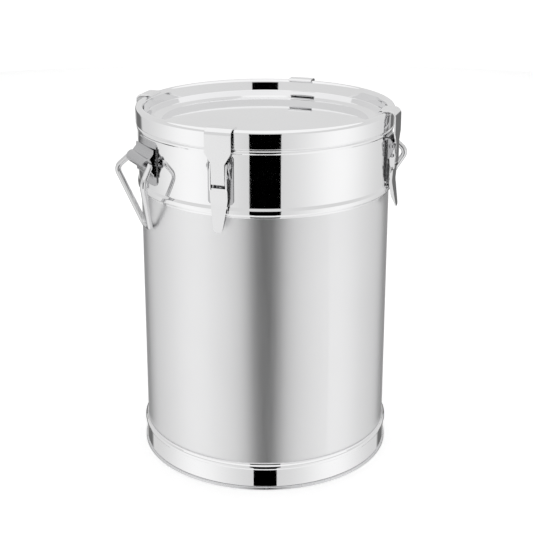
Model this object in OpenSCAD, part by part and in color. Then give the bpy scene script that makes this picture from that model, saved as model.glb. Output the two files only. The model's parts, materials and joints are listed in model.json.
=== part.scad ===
// Milk can of about 20 litres in stainless steel: a drum with a polished collar, a press-on lid
// with a gasket, four toggle latches and two drop handles.
// Millimetres, +Z up, origin on the ground under the middle of the can, handles on +X and -X.

/* [Drum] */
// Outer radius of the barrel
barrel_r = 135; // [132:0.5:138]
// Thickness of the barrel, collar and lid sheet
sheet_t = 1.2; // [1:0.1:1.4]
// Height of the shoulder where the collar sits on the barrel
shoulder_z = 306; // [298:1:310]
// Height of the collar's rolled mouth
mouth_z = 382.4; // [381.6:0.1:382.6]
// How far the collar stands out beyond the barrel
collar_step = 2.5; // [2.2:0.1:3]
// Height of the foot ring
foot_h = 29; // [24:1:34]
// Depth of the hollow under the can's bottom
bottom_z = 14; // [12:0.5:18]

/* [Lid] */
// Height of the top of the lid's rim
lid_top_z = 390; // [389.8:0.1:390.8]
// Height of the flat panel inside the rim
panel_z = 371.8; // [370:0.2:374]
// Radius of the flat panel
panel_r = 111.6; // [105:0.2:116]
// Height of the lower edge of the lid's skirt
skirt_z = 372.3; // [372:0.1:372.8]

/* [Latches] */
// Width of the hook where it passes over the rim
hook_w = 27.5; // [24:0.5:30]
// Width of the hook's neck
neck_w = 14.5; // [12:0.5:14.5]
// Thickness of the hook strap
hook_t = 1.6; // [1.4:0.1:1.8]
// Width of the lever
lever_w = 18.5; // [18.5:0.1:19.5]

/* [Handles] */
// Radius of the handle wire
wire_r = 3.15; // [2.8:0.05:3.4]
// Length of the sleeve that holds the wire
sleeve_len = 47; // [40:1:48]
// Radius of the sleeve
sleeve_r = 6.5; // [6.2:0.1:6.5]
// Height of the handle's hinge
handle_z = 342; // [340:1:345]

/* [Hidden] */
$fn = 96;

// running clearance on a hinge's radius, and the gap that other moving faces keep
fit_gap = 0.05;
free_gap = 0.35;

// drum
collar_r = barrel_r + collar_step;
lap_top = shoulder_z + 8;          // the collar's straight wall starts here
hem_h = 3.6;                       // solid ring that the can stands on
foot_t = 1.5;
foot_r = barrel_r + 2;

// lid
rim_r = collar_r + 2;              // outside of the lid's skirt at the rim
rim_w = 8.5;                       // width of the rolled rim
rim_bend = 3.6;                    // bend radius of the rim, at the sheet's middle
gasket_z = mouth_z + free_gap;      // underside of the gasket, just clear of the mouth
gasket_h = 5;

// latches, in a frame whose X is the distance from the can's axis
latch_az = [45, 135, 225, 315];
pivot = [collar_r + 4.5, 354.5];   // pin that the lever turns on
hook_pin = [collar_r + 5.2, 344.2]; // pin in the lever that pulls the hook
pivot_pin_r = 1.8;
hook_pin_r = 1.75;
cheek_t = 1.5;
cheek_in = lever_w / 2 - cheek_t;  // inner face of a lever cheek
ear_in = lever_w / 2 + 0.7;        // inner face of an ear on the base
ear_t = 1.5;
base_t = 1.2;
base_w = 27;
base_z = [314, 364];
knuckle_r = 3.6;                   // the hook's eye round its pin
neck_x = hook_pin[0] + knuckle_r - hook_t / 2; // the strap hangs from here to the pin
blade_t = 1.8;
blade_top = 332;
blade_bend = [collar_r + 5.3, 316];
blade_tip = [collar_r + 10.2, 287.5];
taper_z = [357, 367.5];            // the hook narrows to its neck between these heights
tail_z = 336;                      // lower end of the hook's neck

// handles
handle_az = [0, 180];
handle_x = collar_r + 7.2;         // hinge axis, from the can's axis
bracket_t = 1.2;
bracket_w = 50;
bracket_z = [318, 364];
knee = [159, 39, 327];             // the wire's widest point: out, along, up
toe = [barrel_r + wire_r + 0.5, 8.5, 270]; // its lowest corner, just off the barrel

// ---- helpers ----

function unit(v) = v / norm(v);

// Points of a path whose corners [x, y, bend radius] are rounded with arcs of n steps
function rounded(p, n = 6) = [for (i = [0:len(p) - 1])
    let (r = len(p[i]) > 2 ? p[i][2] : 0)
    each (i == 0 || i == len(p) - 1 || r == 0 ? [[p[i][0], p[i][1]]] : corner(
        [p[i - 1][0], p[i - 1][1]], [p[i][0], p[i][1]], [p[i + 1][0], p[i + 1][1]], r, n))];

function corner(a, b, c, r, n) =
    let (u = unit(a - b), v = unit(c - b), half = acos(u * v) / 2, reach = r / tan(half),
         mid = b + unit(u + v) * r / sin(half), s = b + u * reach - mid, e = b + v * reach - mid,
         turn = 180 - 2 * half)
    [for (i = [0:n]) let (w = i * turn / n)
        mid + (sin(turn - w) * s + sin(w) * e) / sin(turn)];

// Closed outline of sheet of thickness t whose middle follows the path p
function sheet(p, t) = concat(side(p, t / 2), [for (i = [len(p) - 1:-1:0]) side(p, -t / 2)[i]]);

function side(p, d) = [for (i = [0:len(p) - 1])
    let (a = i == 0 ? p[1] - p[0] : p[i] - p[i - 1],
         b = i == len(p) - 1 ? a : p[i + 1] - p[i],
         na = [-a[1], a[0]] / norm(a), nb = [-b[1], b[0]] / norm(b), m = unit(na + nb))
    p[i] + m * d / (m * na)];

// Turns a sheet profile into a round shell
module spun(path, t) rotate_extrude($fn = 180) polygon(sheet(path, t));

// Puts a child, drawn with X outward, at an angle round the can
module at(az) rotate([0, 0, az]) children();

// Extrudes a side profile drawn in (distance from axis, height) to a width along Y
module across(w, y = 0) translate([0, y + w / 2, 0]) rotate([90, 0, 0]) linear_extrude(w) children();

// Round bar along Y
module bar(c, r, w, y = 0) translate([c[0], y - w / 2, c[1]]) rotate([-90, 0, 0]) cylinder(r = r, h = w, $fn = 48);

// Part of a ring that lies on a round wall, w wide and between two heights
module saddle(r, t, w, z, corner_r = 3) intersection() {
    translate([0, 0, z[0]]) difference() {
        cylinder(r = r + t, h = z[1] - z[0], $fn = 180);
        translate([0, 0, -1]) cylinder(r = r, h = z[1] - z[0] + 2, $fn = 180);
    }
    translate([0, 0, (z[0] + z[1]) / 2]) rotate([90, 0, 90])
        linear_extrude(r + 2 * t) rounded_plate(w, z[1] - z[0], corner_r);
}

module rounded_plate(w, h, r) {
    square([w - 2 * r, h], center = true);
    square([w, h - 2 * r], center = true);
    for (x = [-1, 1], y = [-1, 1]) translate([x * (w / 2 - r), y * (h / 2 - r)]) circle(r, $fn = 32);
}

// ---- drum ----

module barrel() color([0.72, 0.72, 0.73])
    spun(rounded([
        [barrel_r - sheet_t / 2, 9],
        [barrel_r - sheet_t / 2, shoulder_z - 1, 6],
        [collar_r - 1.5 * sheet_t, lap_top - 1, 6],
        [collar_r - 1.5 * sheet_t, lap_top + 6]]), sheet_t);

module collar() color([0.85, 0.85, 0.86])
    spun(rounded([
        [barrel_r + sheet_t / 2, shoulder_z - 5.5],
        [barrel_r + sheet_t / 2, shoulder_z - 3.2, 1],
        [collar_r + 0.7, shoulder_z - 1.6, 1.6],
        [collar_r + 0.7, shoulder_z + 2.6, 1.6],
        [collar_r - sheet_t / 2, shoulder_z + 5.6, 2.5],
        [collar_r - sheet_t / 2, skirt_z - 5.2, 1],
        [collar_r + 0.4, skirt_z - 4, 0.9],
        [collar_r + 0.4, skirt_z - 2.6, 0.9],
        [collar_r - sheet_t / 2, skirt_z - 1.4, 1],
        [collar_r - sheet_t / 2, mouth_z - sheet_t / 2, 1.1],
        [collar_r - sheet_t / 2 - 2.4, mouth_z - sheet_t / 2, 1.1],
        [collar_r - sheet_t / 2 - 2.4, mouth_z - 3]]), sheet_t);

module can_bottom() color([0.75, 0.75, 0.76])
    spun(rounded([
        [0, bottom_z + 4],
        [12, bottom_z + 4, 40],
        [barrel_r - 22, bottom_z + sheet_t / 2, 40],
        [barrel_r - 1.5 * sheet_t, bottom_z + sheet_t / 2, 6],
        [barrel_r - 1.5 * sheet_t, bottom_z + 10]], 5), sheet_t);

module foot_ring() color([0.85, 0.85, 0.86])
    spun(rounded([
        [barrel_r + foot_t / 2, foot_h + 1.6],
        [barrel_r + foot_t / 2, foot_h - 0.4, 0.8],
        [foot_r + 0.4, foot_h - 1.6, 1.2],
        [foot_r + 0.4, foot_h - 4, 1.2],
        [foot_r - foot_t / 2, foot_h - 5.2, 1.2],
        [foot_r - foot_t / 2, hem_h]]), foot_t);

// Solid hem ring, flat underneath
module foot_hem() color([0.8, 0.8, 0.81])
    rotate_extrude($fn = 180) translate([foot_r - 0.6, hem_h / 2]) rounded_plate(3.8, hem_h, 1);

// ---- lid ----

module lid_shell() color([0.88, 0.88, 0.89])
    spun(rounded([
        [rim_r - sheet_t / 2 - 0.4, skirt_z],
        [rim_r - sheet_t / 2, skirt_z + 9],
        [rim_r - sheet_t / 2, lid_top_z - sheet_t / 2, rim_bend],
        [rim_r - rim_w + sheet_t / 2, lid_top_z - sheet_t / 2, rim_bend],
        [panel_r + 17.8, panel_z + 5.2, 1.6],
        [panel_r, panel_z, 2.5],
        [panel_r - 30, panel_z + 0.3],
        [12, panel_z + 0.8],
        [0, panel_z + 0.8]], 7), sheet_t);

module lid_gasket() color([0.93, 0.93, 0.9])
    rotate_extrude($fn = 180)
        translate([rim_r - rim_w / 2 + 0.02, gasket_z + gasket_h / 2]) rounded_plate(5.6, gasket_h, 2.2);

// ---- latches ----

// Side profile of an ear: a foot on the collar and a round eye for the pivot pin
module ear_side() {
    difference() {
        union() {
            translate(pivot) circle(3.4, $fn = 48);
            polygon([[collar_r + 0.2, pivot[1] - 13.5], [collar_r + 2.5, pivot[1] - 13.5],
                [pivot[0] + 3.2, pivot[1] - 1.3],
                [pivot[0] + 2.4, pivot[1] + 2.5], [collar_r + 2.5, pivot[1] + 8],
                [collar_r + 0.2, pivot[1] + 8]]);
        }
        translate(pivot) circle(pivot_pin_r, $fn = 48);
    }
}

module latch_base(k) color([0.78, 0.78, 0.79]) at(latch_az[k - 1]) difference() {
    union() {
        saddle(collar_r, base_t, base_w, base_z);
        for (y = [-1, 1]) across(ear_t, y * (ear_in + ear_t / 2)) ear_side();
    }
    cylinder(r = collar_r, h = mouth_z, $fn = 180);
}

// Rivet that the lever turns on, with a head outside each ear
module latch_pivot_pin(k) color([0.65, 0.65, 0.66]) at(latch_az[k - 1]) {
    bar(pivot, pivot_pin_r, 2 * (ear_in + ear_t));
    for (y = [-1, 1]) bar(pivot, 2.9, 1.3, y * (ear_in + ear_t + 0.65));
}

module cheek_side() difference() {
    union() {
        translate(pivot) circle(3, $fn = 48);
        translate(hook_pin) circle(3.2, $fn = 48);
        polygon([[pivot[0] - 3, pivot[1]], [pivot[0] + 3, pivot[1]],
            [hook_pin[0] + 3.2, hook_pin[1]], [hook_pin[0] + 2.9, blade_top - 1],
            [hook_pin[0] - 1.4, blade_top - 7], [hook_pin[0] - 3.2, hook_pin[1]]]);
    }
    translate(pivot) circle(pivot_pin_r + fit_gap, $fn = 48);
    translate(hook_pin) circle(hook_pin_r, $fn = 48);
}

// Blade outline seen from the front, from its top edge down to the round tip
module blade_front() {
    top_half = lever_w / 2;
    tip_half = 5.4;
    tip_r = 5;
    polygon([[-top_half, blade_top], [top_half, blade_top], [top_half, blade_bend[1] + 4],
        [tip_half, blade_tip[1] + tip_r], [-tip_half, blade_tip[1] + tip_r],
        [-top_half, blade_bend[1] + 4]]);
    for (x = [-1, 1]) translate([x * (tip_half - tip_r), blade_tip[1] + tip_r]) circle(tip_r, $fn = 48);
    translate([tip_r - tip_half, blade_tip[1]]) square([2 * (tip_half - tip_r), tip_r]);
}

module lever(k) color([0.82, 0.82, 0.83]) at(latch_az[k - 1]) {
    for (y = [-1, 1]) across(cheek_t, y * (cheek_in + cheek_t / 2)) cheek_side();
    intersection() {
        across(lever_w) polygon(sheet(rounded([
            [hook_pin[0] + 1.2, blade_top + 4],
            [blade_bend[0], blade_bend[1], 22],
            [blade_tip[0], blade_tip[1] - 4]], 8), blade_t));
        translate([collar_r, 0, 0]) rotate([90, 0, 90]) linear_extrude(30) blade_front();
    }
}

// Pin fixed in the lever's cheeks, carrying the hook
module hook_pin(k) color([0.65, 0.65, 0.66]) at(latch_az[k - 1]) {
    bar(hook_pin, hook_pin_r, lever_w);
    for (y = [-1, 1]) bar(hook_pin, 2.2, 0.6, y * (lever_w / 2 + 0.3));
}

// Hook outline seen from the front: full width over the rim, then a taper to the neck
module hook_front() polygon([
    [-neck_w / 2, tail_z], [-neck_w / 2, taper_z[0]], [-hook_w / 2, taper_z[1]],
    [-hook_w / 2, lid_top_z + 9], [hook_w / 2, lid_top_z + 9], [hook_w / 2, taper_z[1]],
    [neck_w / 2, taper_z[0]], [neck_w / 2, tail_z]]);

module hook(k) color([0.86, 0.86, 0.87]) at(latch_az[k - 1]) {
    top = lid_top_z + free_gap + hook_t / 2;
    difference() {
        union() {
            intersection() {
                across(hook_w) polygon(sheet(rounded([
                    [rim_r - rim_w - 3.6, top - 1.4],
                    [rim_r - rim_w - 1.6, top],
                    [neck_x, top, 6],
                    [neck_x, tail_z - 1]], 7), hook_t));
                translate([rim_r - 30, 0, 0]) rotate([90, 0, 90]) linear_extrude(60) hook_front();
            }
            bar(hook_pin, knuckle_r, neck_w);
        }
        bar(hook_pin, hook_pin_r + fit_gap, neck_w + 2);
    }
}

// ---- handles ----

// Curved plate welded to the collar, with a block that cradles the sleeve
module handle_bracket(k) color([0.78, 0.78, 0.79]) at(handle_az[k - 1]) difference() {
    union() {
        saddle(collar_r, bracket_t, bracket_w, bracket_z);
        across(sleeve_len) polygon([[collar_r - 6, handle_z - 11], [collar_r + 1.4, handle_z - 11],
            [handle_x - 1, handle_z - sleeve_r - 0.2], [handle_x - 1, handle_z + sleeve_r + 0.2],
            [collar_r + 1.4, handle_z + 11], [collar_r - 6, handle_z + 11]]);
    }
    cylinder(r = collar_r, h = mouth_z, $fn = 180);
    bar([handle_x, handle_z], sleeve_r, sleeve_len + 2);
}

// Tube that the wire turns in, opened out at its ends
module handle_sleeve(k) color([0.7, 0.7, 0.71]) at(handle_az[k - 1]) difference() {
    bar([handle_x, handle_z], sleeve_r, sleeve_len);
    bar([handle_x, handle_z], wire_r + fit_gap, sleeve_len + 2);
    for (y = [-1, 1]) bar([handle_x, handle_z], sleeve_r - 1.6, 10, y * sleeve_len / 2);
}

// Corners [out, along, up, bend radius] of the wire, from one end of the sleeve round to the other
wire_corners = let (half = [
    [handle_x, -sleeve_len / 2 - 1, handle_z],
    [handle_x, -sleeve_len / 2 - 5, handle_z, 5],
    [knee[0], -knee[1], knee[2], 8],
    [toe[0], -toe[1], toe[2], 8]])
    concat(half, [for (i = [3:-1:0]) let (c = half[i]) [c[0], -c[1], c[2], c[3]]]);

function rounded_wire(p, n) = [for (i = [0:len(p) - 1])
    let (r = p[i][3])
    each (i == 0 || i == len(p) - 1 ? [xyz(p[i])] : corner(xyz(p[i - 1]), xyz(p[i]), xyz(p[i + 1]), r, n))];

function xyz(p) = [p[0], p[1], p[2]];

// Points of a ring of m sides round p, square to the direction d
function ring(p, d, r, m) = let (u = unit(cross(d, [1, 0, 0])), v = unit(cross(u, d)))
    [for (j = [0:m - 1]) p + r * (cos(j * 360 / m) * u + sin(j * 360 / m) * v)];

// Tube of m sides along the path p
module tube(p, r, m) {
    last = len(p) - 1;
    rings = [for (i = [0:last])
        each ring(p[i], unit(p[min(i + 1, last)] - p[max(i - 1, 0)]), r, m)];
    sides = [for (i = [0:last - 1], j = [0:m - 1])
        let (a = i * m + j, b = i * m + (j + 1) % m) each [[a, b, a + m], [b, b + m, a + m]]];
    polyhedron(rings, concat(sides, [[for (j = [m - 1:-1:0]) j], [for (j = [0:m - 1]) last * m + j]]));
}

module bail(k) color([0.84, 0.84, 0.85]) at(handle_az[k - 1]) {
    bar([handle_x, handle_z], wire_r, sleeve_len + 3);
    tube(rounded_wire(wire_corners, 5), wire_r - 0.02, 14);
}

barrel();
collar();
can_bottom();
foot_ring();
foot_hem();
lid_shell();
lid_gasket();
for (k = [1:4]) {
    latch_base(k);
    latch_pivot_pin(k);
    lever(k);
    hook_pin(k);
    hook(k);
}
for (k = [1:2]) {
    handle_bracket(k);
    handle_sleeve(k);
    bail(k);
}
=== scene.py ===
"""Looks of the stainless milk can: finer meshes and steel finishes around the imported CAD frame."""
import json
import math

import bmesh
import bpy
from mathutils import Matrix, Vector


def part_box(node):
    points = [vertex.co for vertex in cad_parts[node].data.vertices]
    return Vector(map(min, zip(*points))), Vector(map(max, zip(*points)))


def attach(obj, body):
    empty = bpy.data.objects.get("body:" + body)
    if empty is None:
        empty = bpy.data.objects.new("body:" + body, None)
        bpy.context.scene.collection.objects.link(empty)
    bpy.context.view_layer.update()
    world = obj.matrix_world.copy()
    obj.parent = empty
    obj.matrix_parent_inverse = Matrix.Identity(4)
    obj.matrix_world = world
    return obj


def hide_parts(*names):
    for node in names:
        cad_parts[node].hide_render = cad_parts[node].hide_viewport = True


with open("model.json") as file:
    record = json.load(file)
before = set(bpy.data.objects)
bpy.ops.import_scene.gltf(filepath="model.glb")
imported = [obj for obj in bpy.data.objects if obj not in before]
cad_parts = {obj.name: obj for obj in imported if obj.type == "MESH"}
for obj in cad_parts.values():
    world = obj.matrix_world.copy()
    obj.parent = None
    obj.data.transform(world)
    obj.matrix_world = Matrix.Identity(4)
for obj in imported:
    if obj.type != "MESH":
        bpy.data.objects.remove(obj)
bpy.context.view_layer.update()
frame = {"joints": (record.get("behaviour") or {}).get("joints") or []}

MM = 0.001                      # profiles below are written in millimetres
LOW, HIGH = 0, 1
X, Z = 0, 2


# ---- sizes, read off the frame ----

def edge_of(node, corner, axis):
    """One side of a CAD node's box, in millimetres."""
    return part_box(node)[corner][axis] / MM


rim_r = edge_of("lid_shell", HIGH, X)
lid_top = edge_of("lid_shell", HIGH, Z)
skirt_z = edge_of("lid_shell", LOW, Z)
mouth_z = edge_of("collar", HIGH, Z)
collar_low = edge_of("collar", LOW, Z)
foot_top = edge_of("foot_ring", HIGH, Z)
foot_low = edge_of("foot_ring", LOW, Z)
hem_top = edge_of("foot_hem", HIGH, Z)
bottom_low = edge_of("can_bottom", LOW, Z)
barrel_low = edge_of("barrel", LOW, Z)

SHEET = 1.2                     # drum and lid
FOOT_SHEET = 1.5
RIM_W = 8.5
RIM_BEND = 3.6
PANEL_R = 111.6
PANEL_DEPTH = 18.2
collar_r = rim_r - 2
barrel_r = collar_r - 2.5
foot_r = barrel_r + 2
shoulder_z = collar_low + 5.5
foot_h = foot_top - 1.6
panel_z = lid_top - PANEL_DEPTH

JOINTS = {joint["name"]: joint for joint in frame["joints"]}


def hinge(name):
    """A hinge's turn round the can, and its place as (distance from the axis, height) in millimetres."""
    x, y, z = (value / MM for value in JOINTS[name]["pos_m"])
    return math.atan2(y, x), (math.hypot(x, y), z)


# ---- mesh helpers ----

def corner(a, b, c, radius, steps):
    """Points of the arc that rounds the corner at b between a and c."""
    a, b, c = Vector(a), Vector(b), Vector(c)
    u, v = (a - b).normalized(), (c - b).normalized()
    half = u.angle(v) / 2
    mid = b + (u + v).normalized() * radius / math.sin(half)
    start, end = b + u * radius / math.tan(half) - mid, b + v * radius / math.tan(half) - mid
    turn = math.pi - 2 * half
    return [mid + (math.sin(turn - w) * start + math.sin(w) * end) / math.sin(turn)
            for w in (turn * i / steps for i in range(steps + 1))]


def rounded(path, steps=8, size=2):
    """A path whose inner corners (place..., bend radius) are rounded."""
    points = []
    for i, point in enumerate(path):
        place, bend = point[:size], point[size] if len(point) > size else 0
        if bend and 0 < i < len(path) - 1:
            points += corner(path[i - 1][:size], place, path[i + 1][:size], bend, steps)
        else:
            points.append(Vector(place))
    return points


def normals(path):
    """Unit normals of a flat path at its points, with the reach that keeps its thickness round bends."""
    found = []
    for i, point in enumerate(path):
        before = point - path[i - 1] if i else path[1] - path[0]
        after = path[i + 1] - point if i < len(path) - 1 else before
        n1 = Vector((-before.y, before.x)).normalized()
        n2 = Vector((-after.y, after.x)).normalized()
        mean = (n1 + n2).normalized()
        found.append(mean / max(mean.dot(n1), 0.3))
    return found


def sheet(path, thickness, round_start=True, round_end=True):
    """Closed outline of sheet metal that follows a path, with its cut edges rounded."""
    half = thickness / 2
    reach = normals(path)
    left = [p + n * half for p, n in zip(path, reach)]
    right = [p - n * half for p, n in zip(path, reach)]

    def cap(point, toward, side):
        return [point + (side * math.cos(w) + toward * math.sin(w)) * half
                for w in (math.radians(30 * i) for i in range(1, 6))]

    ahead = (path[-1] - path[-2]).normalized()
    back = (path[0] - path[1]).normalized()
    end_cap = cap(path[-1] - ahead * half, ahead, reach[-1]) if round_end else []
    start_cap = cap(path[0] - back * half, back, -reach[0]) if round_start else []
    if round_end:
        left[-1] -= ahead * half
        right[-1] -= ahead * half
    if round_start:
        left[0] -= back * half
        right[0] -= back * half
    return left + end_cap + right[::-1] + start_cap


def rounded_box(width, height, radius, middle, steps=5):
    """Closed outline of a rectangle with round corners."""
    points = []
    for quarter in range(4):
        turn = math.pi / 2 * quarter
        cx = (width / 2 - radius) * (1 if quarter in (0, 3) else -1)
        cz = (height / 2 - radius) * (1 if quarter in (0, 1) else -1)
        for i in range(steps + 1):
            w = turn + math.pi / 2 * i / steps
            points.append(Vector((middle[0] + cx + radius * math.cos(w),
                                  middle[1] + cz + radius * math.sin(w))))
    return points


def supported(outline, reach=0.25):
    """An outline with extra points near the ends of its long straights, which stay flat when smoothed."""
    points = []
    for a, b in zip(outline, outline[1:] + outline[:1]):
        points.append(a)
        length = (b - a).length
        if length > 8 * reach:
            points += [a.lerp(b, reach / length), a.lerp(b, 1 - reach / length)]
    return points


def lathe(bm, outline, segments=256):
    """Adds a closed outline of (distance from the axis, height) turned round Z."""
    rings = []
    for point in supported(outline):
        if point[0] < 1e-6:
            rings.append([bm.verts.new((0, 0, point[1]))] * segments)
        else:
            rings.append([bm.verts.new((point[0] * math.cos(w), point[0] * math.sin(w), point[1]))
                          for w in (math.tau * i / segments for i in range(segments))])
    skin(bm, rings, wrap_rings=True)


def skin(bm, rings, wrap_rings=False, caps=False):
    """Adds faces between rings of points, which close on themselves."""
    count = len(rings[0])
    for i in range(len(rings) if wrap_rings else len(rings) - 1):
        a, b = rings[i], rings[(i + 1) % len(rings)]
        for j in range(count):
            loop = []
            for vert in (a[j], a[(j + 1) % count], b[(j + 1) % count], b[j]):
                if vert not in loop:
                    loop.append(vert)
            if len(loop) > 2:
                bm.faces.new(loop)
    if caps:
        bm.faces.new(rings[0][::-1])
        bm.faces.new(rings[-1])


def plate(bm, outline, y, thickness):
    """Adds a flat plate: an outline of (out, up) at a place along the tangent."""
    rings = [[bm.verts.new((p[0], y + side * thickness / 2, p[1])) for p in outline] for side in (-1, 1)]
    skin(bm, rings, caps=True)


def strip(bm, path, half_widths, thickness):
    """Adds a flat strap that follows a path of (out, up), with its own width at each point."""
    rings = []
    for p, n, w in zip(path, normals(path), half_widths):
        over, under = p + n * thickness / 2, p - n * thickness / 2
        rings.append([bm.verts.new((q[0], y, q[1])) for q, y in
                      ((over, -w), (over, w), (under, w), (under, -w))])
    skin(bm, rings, caps=True)


def channel(bm, path, half_widths, depths, thickness):
    """Adds a pressed channel that follows a path: a web with a flange down each side."""
    rings = []
    for p, n, w, d in zip(path, normals(path), half_widths, depths):
        t = thickness
        section = [(-w, t / 2), (w, t / 2), (w, -d), (w - t, -d - 0.01), (w - t, -t / 2),
                   (-w + t, -t / 2), (-w + t, -d - 0.01), (-w, -d)]
        rings.append([bm.verts.new((p.x + n.x * b, a, p.y + n.y * b)) for a, b in section])
    skin(bm, rings, caps=True)


def hull(points):
    """Convex outline round flat points."""
    points = sorted((round(p[0], 4), round(p[1], 4)) for p in points)

    def half(run):
        kept = []
        for p in run:
            while len(kept) > 1 and ((kept[-1][0] - kept[-2][0]) * (p[1] - kept[-2][1])
                                     - (kept[-1][1] - kept[-2][1]) * (p[0] - kept[-2][0])) <= 0:
                kept.pop()
            kept.append(p)
        return kept[:-1]

    return half(points) + half(points[::-1])


def circle(middle, radius, steps=32):
    return [(middle[0] + radius * math.cos(math.tau * i / steps),
             middle[1] + radius * math.sin(math.tau * i / steps)) for i in range(steps)]


def spindle(bm, profile, middle, steps=40):
    """Rings of a profile of (along the tangent, radius) turned round a pin's axis, for skin to join."""
    rings = []
    for along, radius in profile:
        if radius < 1e-6:
            rings.append([bm.verts.new((middle[0], along, middle[1]))] * steps)
        else:
            rings.append([bm.verts.new((x, along, z)) for x, z in circle(middle, radius, steps)])
    return rings


def resampled(path, spacing):
    """A path with points at most a spacing apart."""
    points = [path[0]]
    for a, b in zip(path, path[1:]):
        count = max(1, math.ceil((b - a).length / spacing))
        points += [a.lerp(b, i / count) for i in range(1, count + 1)]
    return points


def between(value, table):
    """Straight-line reading of a short table of (place, value)."""
    if value <= table[0][0]:
        return table[0][1]
    for (a, at_a), (b, at_b) in zip(table, table[1:]):
        if value <= b:
            return at_a + (at_b - at_a) * (value - a) / (b - a)
    return table[-1][1]


def curved_plate(bm, inner_r, thickness, width, low, high, corner_r, columns=28):
    """Adds a plate with round corners that lies on a round wall, centred on the X axis."""
    rings = []
    for i in range(columns + 1):
        s = -math.cos(math.pi * i / columns) * width / 2
        over = max(0.0, abs(s) - (width / 2 - corner_r))
        cut = corner_r - math.sqrt(max(0.0, corner_r ** 2 - over ** 2))
        ring = []
        for r, z in ((inner_r, low + cut), (inner_r + thickness, low + cut),
                     (inner_r + thickness, high - cut), (inner_r, high - cut)):
            turn = s / (inner_r + thickness)
            ring.append(bm.verts.new((r * math.cos(turn), r * math.sin(turn), z)))
        rings.append(ring)
    skin(bm, rings, caps=True)


def dome(bm, middle, radius, height, steps=20):
    """Adds a shallow round bump that stands out along X, such as a spot weld."""
    rings = []
    for r, h in ((1.0, -0.6), (1.0, 0.15), (0.85, 0.6), (0.55, 0.9), (0.25, 1.0)):
        rings.append([bm.verts.new((middle[0] + h * height, middle[1] + radius * r * math.cos(w),
                                    middle[2] + radius * r * math.sin(w)))
                      for w in (math.tau * i / steps for i in range(steps))])
    skin(bm, rings, caps=True)


def piece(name, bm, body, nodes, material, turn=0.0, edge=0.0, crease=38):
    """Makes an object of a mesh drawn in millimetres with X outward, and hands it to the frame.

    Turn is its place round the can, edge the width of its bevel in millimetres, and crease the angle in
    degrees past which an edge stays sharp.
    """
    bmesh.ops.recalc_face_normals(bm, faces=bm.faces)
    bm.transform(Matrix.Rotation(turn, 4, "Z") @ Matrix.Scale(MM, 4))
    for face in bm.faces:
        face.smooth = True
    for line in bm.edges:
        if len(line.link_faces) == 2 and line.calc_face_angle(0) > math.radians(crease):
            line.smooth = False
    mesh = bpy.data.meshes.new(name)
    bm.to_mesh(mesh)
    bm.free()
    made = bpy.data.objects.new(name, mesh)
    bpy.context.scene.collection.objects.link(made)
    mesh.materials.append(material)
    if edge:
        bevel = made.modifiers.new("edges", "BEVEL")
        bevel.width = edge * MM
        bevel.segments = 3
        bevel.limit_method = "ANGLE"
        bevel.angle_limit = math.radians(crease)
        bevel.harden_normals = True
    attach(made, body)
    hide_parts(*nodes)
    return made


# ---- finishes ----

def node_of(tree, kind, **inputs):
    made = tree.nodes.new(kind)
    for name, value in inputs.items():
        made.inputs[name.replace("_", " ")].default_value = value
    return made


def steel(name, tone, rough, spread, grain, lift, mottle=0.03):
    """Bare steel. Grain is the noise's density along X, Y and Z, lift the depth of its relief in mm."""
    made = bpy.data.materials.new(name)
    made.use_nodes = True
    tree = made.node_tree
    shader = tree.nodes["Principled BSDF"]
    shader.inputs["Metallic"].default_value = 1.0
    place = tree.nodes.new("ShaderNodeTexCoord")
    stretch = node_of(tree, "ShaderNodeMapping", Scale=grain)
    lines = node_of(tree, "ShaderNodeTexNoise", Scale=1.0, Detail=5.0, Roughness=0.6)
    tree.links.new(place.outputs["Object"], stretch.inputs["Vector"])
    tree.links.new(stretch.outputs["Vector"], lines.inputs["Vector"])

    gloss = node_of(tree, "ShaderNodeMapRange", From_Min=0.3, From_Max=0.7,
                    To_Min=rough - spread, To_Max=rough + spread)
    tree.links.new(lines.outputs["Fac"], gloss.inputs["Value"])
    tree.links.new(gloss.outputs["Result"], shader.inputs["Roughness"])

    clouds = node_of(tree, "ShaderNodeTexNoise", Scale=9.0, Detail=3.0, Roughness=0.5)
    tree.links.new(place.outputs["Object"], clouds.inputs["Vector"])
    shade = tree.nodes.new("ShaderNodeValToRGB")
    low, high = shade.color_ramp.elements
    low.position, high.position = 0.3, 0.7
    low.color = [max(0.0, c - mottle) for c in tone] + [1]
    high.color = list(tone) + [1]
    tree.links.new(clouds.outputs["Fac"], shade.inputs["Fac"])
    tree.links.new(shade.outputs["Color"], shader.inputs["Base Color"])

    relief = node_of(tree, "ShaderNodeBump", Strength=1.0, Distance=lift * MM)
    tree.links.new(lines.outputs["Fac"], relief.inputs["Height"])
    tree.links.new(relief.outputs["Normal"], shader.inputs["Normal"])
    return made


def silicone(name):
    made = bpy.data.materials.new(name)
    made.use_nodes = True
    tree = made.node_tree
    shader = tree.nodes["Principled BSDF"]
    shader.inputs["Subsurface Weight"].default_value = 0.2
    shader.inputs["Subsurface Radius"].default_value = (0.002, 0.002, 0.002)
    shader.inputs["Specular IOR Level"].default_value = 0.45
    place = tree.nodes.new("ShaderNodeTexCoord")
    cloud = node_of(tree, "ShaderNodeTexNoise", Scale=60.0, Detail=4.0)
    tree.links.new(place.outputs["Object"], cloud.inputs["Vector"])
    shade = tree.nodes.new("ShaderNodeValToRGB")
    low, high = shade.color_ramp.elements
    low.color, high.color = (0.72, 0.72, 0.69, 1), (0.86, 0.86, 0.83, 1)
    tree.links.new(cloud.outputs["Fac"], shade.inputs["Fac"])
    tree.links.new(shade.outputs["Color"], shader.inputs["Base Color"])
    gloss = node_of(tree, "ShaderNodeMapRange", To_Min=0.42, To_Max=0.6)
    tree.links.new(cloud.outputs["Fac"], gloss.inputs["Value"])
    tree.links.new(gloss.outputs["Result"], shader.inputs["Roughness"])
    return made


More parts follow.
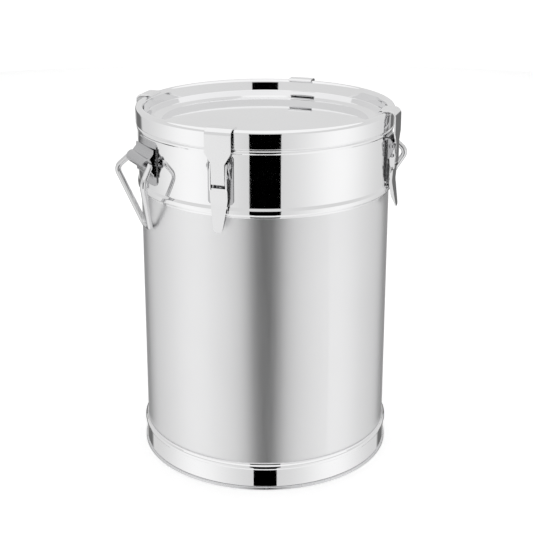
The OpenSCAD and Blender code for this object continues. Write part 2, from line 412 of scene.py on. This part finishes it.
MIRROR = steel("mirror_steel", (0.92, 0.92, 0.925), 0.045, 0.02, (40, 40, 40), 0.004)
SATIN = steel("satin_steel", (0.86, 0.86, 0.865), 0.33, 0.03, (1500, 1500, 9), 0.0015, 0.02)
BASE = steel("base_steel", (0.76, 0.76, 0.77), 0.3, 0.06, (300, 300, 300), 0.004)
LATCH = steel("latch_steel", (0.9, 0.9, 0.905), 0.09, 0.03, (90, 90, 30), 0.004)
PIN = steel("pin_steel", (0.55, 0.55, 0.56), 0.16, 0.06, (600, 600, 600), 0.01)
BRACKET = steel("bracket_steel", (0.56, 0.56, 0.57), 0.2, 0.05, (700, 700, 60), 0.004)
WIRE = steel("wire_steel", (0.76, 0.76, 0.765), 0.12, 0.04, (200, 200, 200), 0.004)
SILICONE = silicone("gasket_silicone")


# ---- drum ----

def drum():
    wall = barrel_r - SHEET / 2
    lap = collar_r - 1.5 * SHEET
    bm = bmesh.new()
    lathe(bm, sheet(rounded([(wall, barrel_low), (wall, shoulder_z - 1, 6), (lap, shoulder_z + 7, 6),
                             (lap, shoulder_z + 14)]), SHEET))
    piece("barrel_shell", bm, "can", ["barrel"], SATIN)

    skin_r = collar_r - SHEET / 2
    bm = bmesh.new()
    lathe(bm, sheet(rounded([
        (barrel_r + SHEET / 2, collar_low),
        (barrel_r + SHEET / 2, shoulder_z - 3.2, 1),
        (collar_r + 0.7, shoulder_z - 1.6, 1.6),
        (collar_r + 0.7, shoulder_z + 2.6, 1.6),
        (skin_r, shoulder_z + 5.6, 2.5),
        (skin_r, skirt_z - 5.2, 1),
        (collar_r + 0.4, skirt_z - 4, 0.9),
        (collar_r + 0.4, skirt_z - 2.6, 0.9),
        (skin_r, skirt_z - 1.4, 1),
        (skin_r, mouth_z - SHEET / 2, 1.1),
        (skin_r - 2.4, mouth_z - SHEET / 2, 1.1),
        (skin_r - 2.4, mouth_z - 3)]), SHEET))
    piece("collar_shell", bm, "can", ["collar"], MIRROR)

    bm = bmesh.new()
    dish = bottom_low + SHEET / 2
    lathe(bm, sheet(rounded([(0, dish + 3.4), (12, dish + 3.4, 40), (barrel_r - 22, dish, 40),
                             (barrel_r - 1.5 * SHEET, dish, 6), (barrel_r - 1.5 * SHEET, dish + 9.4)]),
                    SHEET, round_start=False))
    piece("dished_bottom", bm, "can", ["can_bottom"], BASE)

    bm = bmesh.new()
    lathe(bm, sheet(rounded([
        (barrel_r + FOOT_SHEET / 2, foot_top),
        (barrel_r + FOOT_SHEET / 2, foot_h - 0.4, 0.8),
        (foot_r + 0.4, foot_h - 1.6, 1.2),
        (foot_r + 0.4, foot_h - 4, 1.2),
        (foot_r - FOOT_SHEET / 2, foot_h - 5.2, 1.2),
        (foot_r - FOOT_SHEET / 2, foot_low)]), FOOT_SHEET))
    piece("foot_band", bm, "can", ["foot_ring"], MIRROR)

    bm = bmesh.new()
    lathe(bm, rounded_box(3.8, hem_top, 1, (foot_r - 0.6, hem_top / 2)))
    piece("rolled_hem", bm, "can", ["foot_hem"], BASE)


def lid():
    wall = rim_r - SHEET / 2
    crown = lid_top - SHEET / 2
    bm = bmesh.new()
    lathe(bm, sheet(rounded([
        (wall - 0.3, skirt_z),
        (wall, crown, RIM_BEND),
        (rim_r - RIM_W + SHEET / 2, crown, RIM_BEND),
        (PANEL_R + 17.8, panel_z + 5.2, 1.6),
        (PANEL_R, panel_z, 2.5),
        (PANEL_R - 30, panel_z + 0.3),
        (12, panel_z + 0.8),
        (0, panel_z + 0.8)], 12), SHEET, round_end=False))
    piece("lid_pressing", bm, "lid", ["lid_shell"], MIRROR)

    bm = bmesh.new()
    low = edge_of("lid_gasket", LOW, Z)
    high = edge_of("lid_gasket", HIGH, Z)
    lathe(bm, rounded_box(5.6, high - low, 2.2, (rim_r - RIM_W / 2, (low + high) / 2)))
    piece("gasket_ring", bm, "lid", ["lid_gasket"], SILICONE)


# ---- latches ----

BASE_W = 27
EAR_R, EAR_T = 3.4, 1.5
LEVER_W = 18.5
LEVER_SHEET = 0.9
CHEEK_T = 1.5
EAR_IN = LEVER_W / 2 + 0.7      # inner face of an ear
PIVOT_R, PIVOT_HEAD_R, PIVOT_HEAD_H = 1.8, 2.9, 1.3
PIN_R, PIN_HEAD_R, PIN_HEAD_H = 1.75, 2.2, 0.6
HOOK_T = 1.6
HOOK_HALF, NECK_HALF = 13.75, 7.25
KNUCKLE_R = 3.6                 # the hook's eye


def rivet(half_length, shaft_r, head_r, head_h):
    """Profile of a rivet with a low domed head at each end."""
    side = [(half_length, shaft_r), (half_length, head_r), (half_length + head_h * 0.45, head_r),
            (half_length + head_h * 0.8, head_r * 0.82), (half_length + head_h * 0.97, head_r * 0.5),
            (half_length + head_h, 0)]
    return [(-y, r) for y, r in side[::-1]] + side


def latch(k):
    turn, pivot = hinge(f"lever_{k}_swing")
    _, pin = hinge(f"hook_{k}_tilt")
    low, high = edge_of(f"latch_base_{k}", LOW, Z), edge_of(f"latch_base_{k}", HIGH, Z)
    lever_low = edge_of(f"lever_{k}", LOW, Z)

    bm = bmesh.new()
    curved_plate(bm, collar_r, SHEET, BASE_W, low, high, 4)
    for side in (-1, 1):
        plate(bm, hull(circle(pivot, EAR_R) + [
            (collar_r + 0.3, pivot[1] - 13.5), (collar_r + 2.5, pivot[1] - 13.5),
            (collar_r + 2.5, pivot[1] + 8), (collar_r + 0.3, pivot[1] + 8)]),
            side * (EAR_IN + EAR_T / 2), EAR_T)
    for height in (low + 6, low + 16):      # spot welds
        dome(bm, (collar_r + SHEET, 0, height), 2.2, 0.35)
    piece(f"latch_bracket_{k}", bm, "can", [f"latch_base_{k}"], BRACKET, turn, 0.3)

    bm = bmesh.new()
    skin(bm, spindle(bm, rivet(EAR_IN + EAR_T, PIVOT_R, PIVOT_HEAD_R, PIVOT_HEAD_H), pivot))
    piece(f"pivot_rivet_{k}", bm, "can", [f"latch_pivot_pin_{k}"], PIN, turn)

    bm = bmesh.new()
    for side in (-1, 1):
        plate(bm, hull(circle(pivot, 3) + circle(pin, 3.2) + [
            (pin[0] + 2.9, pin[1] - 13.2), (pin[0] - 1.4, pin[1] - 19.2)]),
            side * (LEVER_W / 2 - CHEEK_T / 2), CHEEK_T)
    web_top = pin[1] - 12.2
    path = resampled(rounded([(pin[0] + 1.3, web_top), (collar_r + 5.3, lever_low + 28.5, 22),
                              (collar_r + 9.6, lever_low)]), 1.2)
    tip_r, tip_half = 5.0, 5.4

    def half_width(z):
        up = z - lever_low
        if up < tip_r:
            return tip_half - tip_r + math.sqrt(max(0.04, tip_r ** 2 - (tip_r - up) ** 2))
        return between(up, [(tip_r, tip_half), (32.5, LEVER_W / 2)])

    widths = [half_width(p.y) for p in path]
    depths = [between(p.y - lever_low, [(4, 0.95), (12, 3.2), (24, 3.2), (30, 2.6), (44, 3.4)]) for p in path]
    channel(bm, path, widths, depths, LEVER_SHEET)
    piece(f"lever_channel_{k}", bm, f"lever_{k}", [f"lever_{k}"], LATCH, turn, 0.3)

    bm = bmesh.new()
    skin(bm, spindle(bm, rivet(LEVER_W / 2, PIN_R, PIN_HEAD_R, PIN_HEAD_H), pin))
    piece(f"hook_rivet_{k}", bm, f"lever_{k}", [f"hook_pin_{k}"], PIN, turn)

    top = edge_of(f"hook_{k}", HIGH, Z) - HOOK_T / 2
    neck = pin[0] + KNUCKLE_R - HOOK_T / 2
    path = resampled(rounded([(rim_r - RIM_W - 3.6, top - 1.4), (rim_r - RIM_W - 1.6, top, 1.2),
                              (neck, top, 6), (neck, edge_of(f"hook_{k}", LOW, Z))], 10), 1.5)
    widths = [between(p.y, [(lid_top - 33, NECK_HALF), (lid_top - 22.5, HOOK_HALF)]) for p in path]
    bm = bmesh.new()
    strip(bm, path, widths, HOOK_T)
    eye, bore, half = KNUCKLE_R - 0.05, PIN_R + 0.15, NECK_HALF - 0.1
    skin(bm, spindle(bm, [(-half, bore), (-half, eye), (half, eye), (half, bore)], pin), wrap_rings=True)
    piece(f"hook_strap_{k}", bm, f"hook_{k}", [f"hook_{k}"], LATCH, turn, 0.35)


# ---- handles ----

PLATE_W = 50
WIRE_R = 3.15
SLEEVE_R = 6.5
SLEEVE_LEN = 47
KNEE_ALONG, KNEE_DROP = 39, 15  # the wire's widest corner, from the hinge's middle
TOE_ALONG = 8.5                 # its lowest corner
WIRE_BEND = 8


def tube(bm, path, radius, sides=24):
    """Adds a round wire along a closed path."""
    rings = []
    for i, p in enumerate(path):
        ahead = (path[(i + 1) % len(path)] - path[i - 1]).normalized()
        u = ahead.cross(Vector((1, 0, 0))).normalized()
        v = u.cross(ahead)
        rings.append([bm.verts.new(p + (u * math.cos(w) + v * math.sin(w)) * radius)
                      for w in (math.tau * j / sides for j in range(sides))])
    skin(bm, rings, wrap_rings=True)


def handle(k):
    turn, axis = hinge(f"bail_{k}_swing")
    low, high = edge_of(f"handle_bracket_{k}", LOW, Z), edge_of(f"handle_bracket_{k}", HIGH, Z)
    toe_z = edge_of(f"bail_{k}", LOW, Z) + WIRE_R
    knee_out = max(abs(edge_of(f"bail_{k}", HIGH, X)), abs(edge_of(f"bail_{k}", LOW, X))) - WIRE_R

    bm = bmesh.new()
    curved_plate(bm, collar_r, SHEET, PLATE_W, low, high, 6)
    wrap_r = SLEEVE_R - SHEET / 2
    foot = collar_r + SHEET * 1.4
    wrap = [Vector((foot, axis[1] + 15)), Vector((foot + 0.2, axis[1] + 11))]
    wrap += [Vector((axis[0] + wrap_r * math.cos(w), axis[1] + wrap_r * math.sin(w)))
             for w in (math.radians(100 - 10 * i) for i in range(21))]
    wrap += [Vector((foot + 0.2, axis[1] - 11)), Vector((foot, axis[1] - 15))]
    strip(bm, wrap, [SLEEVE_LEN / 2] * len(wrap), SHEET)
    piece(f"handle_plate_{k}", bm, "can", [f"handle_bracket_{k}"], BRACKET, turn, 0.3)

    bm = bmesh.new()
    half = SLEEVE_LEN / 2 - 4
    outer, bore = wrap_r - SHEET / 2 + 0.1, WIRE_R + 0.15
    skin(bm, spindle(bm, [(-half, bore), (-half, outer - 0.4), (-half + 0.4, outer),
                          (half - 0.4, outer), (half, outer - 0.4), (half, bore)], axis), wrap_rings=True)
    piece(f"sleeve_bush_{k}", bm, "can", [f"handle_sleeve_{k}"], BRACKET, turn)

    corners = [(axis[0], SLEEVE_LEN / 2 + 5, axis[1], 5),
               (knee_out, KNEE_ALONG, axis[1] - KNEE_DROP, WIRE_BEND),
               (barrel_r + WIRE_R + 0.5, TOE_ALONG, toe_z, WIRE_BEND)]
    loop = [(x, -y, z, bend) for x, y, z, bend in corners] + corners[::-1]
    closed = [loop[-1]] + loop + [loop[0]]
    path = rounded(closed, 12, 3)[1:-1]
    bm = bmesh.new()
    tube(bm, resampled(path + [path[0]], 3)[:-1], WIRE_R)
    piece(f"drop_handle_{k}", bm, f"bail_{k}", [f"bail_{k}"], WIRE, turn)


# ---- stage ----

VIEW_TURN = math.radians(243.5)  # the camera's direction from the can
TENT_R = 2.5                     # metres, like the stage's other lengths


def glow(turn):
    """Brightness of the light tent at an angle from the camera's side, in degrees.

    It is brightest at 66 degrees, and a dark strip stands behind the can on each side.
    """
    bright = 0.68 + 0.34 * math.exp(-((turn - 66) / 38) ** 2)
    return between(turn, [(0, bright), (134, bright), (139, 0.16), (153, 0.16), (159, 0.5), (180, 0.62)])


def stage_mesh(name, bm, material, camera=False):
    mesh = bpy.data.meshes.new(name)
    bm.to_mesh(mesh)
    bm.free()
    mesh.materials.append(material)
    made = bpy.data.objects.new(name, mesh)
    bpy.context.scene.collection.objects.link(made)
    made.visible_camera = camera
    made.visible_shadow = camera
    return made


def light_material(name, strength=0.0, attribute=None):
    made = bpy.data.materials.new(name)
    made.use_nodes = True
    tree = made.node_tree
    tree.nodes.clear()
    out = tree.nodes.new("ShaderNodeOutputMaterial")
    light = node_of(tree, "ShaderNodeEmission", Strength=strength)
    if attribute:
        level = tree.nodes.new("ShaderNodeAttribute")
        level.attribute_name = attribute
        tree.links.new(level.outputs["Fac"], light.inputs["Strength"])
    tree.links.new(light.outputs["Emission"], out.inputs["Surface"])
    return made


def wall(name, radius, turns, heights, level, material):
    """A piece of a round wall about the can, with its glow at each point.

    Turns gives the angles in a row, in degrees from the camera's side, and heights are in metres.
    """
    bm = bmesh.new()
    layer = bm.verts.layers.float.new("glow")
    rows = []
    for z in heights:
        row = []
        for t in turns(z):
            w = VIEW_TURN + math.radians(t)
            vert = bm.verts.new((radius * math.cos(w), radius * math.sin(w), z))
            vert[layer] = level(abs(t), z)
            row.append(vert)
        rows.append(row)
    for a, b in zip(rows, rows[1:]):
        for i in range(len(a) - 1):
            bm.faces.new((a[i], a[i + 1], b[i + 1], b[i]))
    return stage_mesh(name, bm, material)


def studio():
    tent_light = light_material("tent_light", attribute="glow")
    card_black = light_material("card_black")
    wall("light_tent", TENT_R, lambda z: [2 * i - 180 for i in range(181)], [-2.4, 0.35],
         lambda t, z: glow(t), tent_light)
    wall("light_tent_top", TENT_R, lambda z: [5 * i - 180 for i in range(73)], [0.36, 2.6],
         lambda t, z: 0.74, tent_light)

    # a black card stands over the camera, narrower at its foot
    def card_turns(z):
        half = between(z, [(-1.26, 10.6), (-1.14, 13.3)])
        return [half * (i / 6 - 1) for i in range(13)]

    wall("black_card", TENT_R - 0.05, card_turns, [-2.3, -1.26, -1.14, 0.3, 1.15], lambda t, z: 0, card_black)

    bm = bmesh.new()
    bmesh.ops.create_grid(bm, x_segments=8, y_segments=8, size=6)
    floor_paint = bpy.data.materials.new("floor_paint")
    floor_paint.use_nodes = True
    paint = floor_paint.node_tree.nodes["Principled BSDF"]
    paint.inputs["Base Color"].default_value = (0.85, 0.85, 0.85, 1)
    paint.inputs["Roughness"].default_value = 1.0
    paint.inputs["Specular IOR Level"].default_value = 0.0
    paint.inputs["Emission Color"].default_value = (1, 1, 1, 1)
    paint.inputs["Emission Strength"].default_value = 0.39
    floor = stage_mesh("floor", bm, floor_paint, camera=True)
    floor.visible_glossy = False

    world = bpy.data.worlds.new("studio")
    bpy.context.scene.world = world
    world.use_nodes = True
    sky = world.node_tree.nodes["Background"]
    sky.inputs["Color"].default_value = (1, 1, 1, 1)
    sky.inputs["Strength"].default_value = 1.0
    bpy.context.scene.view_settings.view_transform = "Standard"


def camera():
    distance, height, down, lens = 1.2195, 0.6424, math.radians(16.70), 77.85
    data = bpy.data.cameras.new("camera")
    data.lens = lens
    data.sensor_width = 36
    data.shift_x = 0.0025
    data.shift_y = -0.1195
    made = bpy.data.objects.new("camera", data)
    bpy.context.scene.collection.objects.link(made)
    out = Vector((math.cos(VIEW_TURN), math.sin(VIEW_TURN), 0))
    made.location = out * distance + Vector((0, 0, height))
    look = -out * math.cos(down) - Vector((0, 0, math.sin(down)))
    made.rotation_mode = "QUATERNION"
    made.rotation_quaternion = look.to_track_quat("-Z", "Y")
    bpy.context.scene.camera = made


camera()
studio()
drum()
lid()
for number in range(1, 5):
    latch(number)
for number in range(1, 3):
    handle(number)
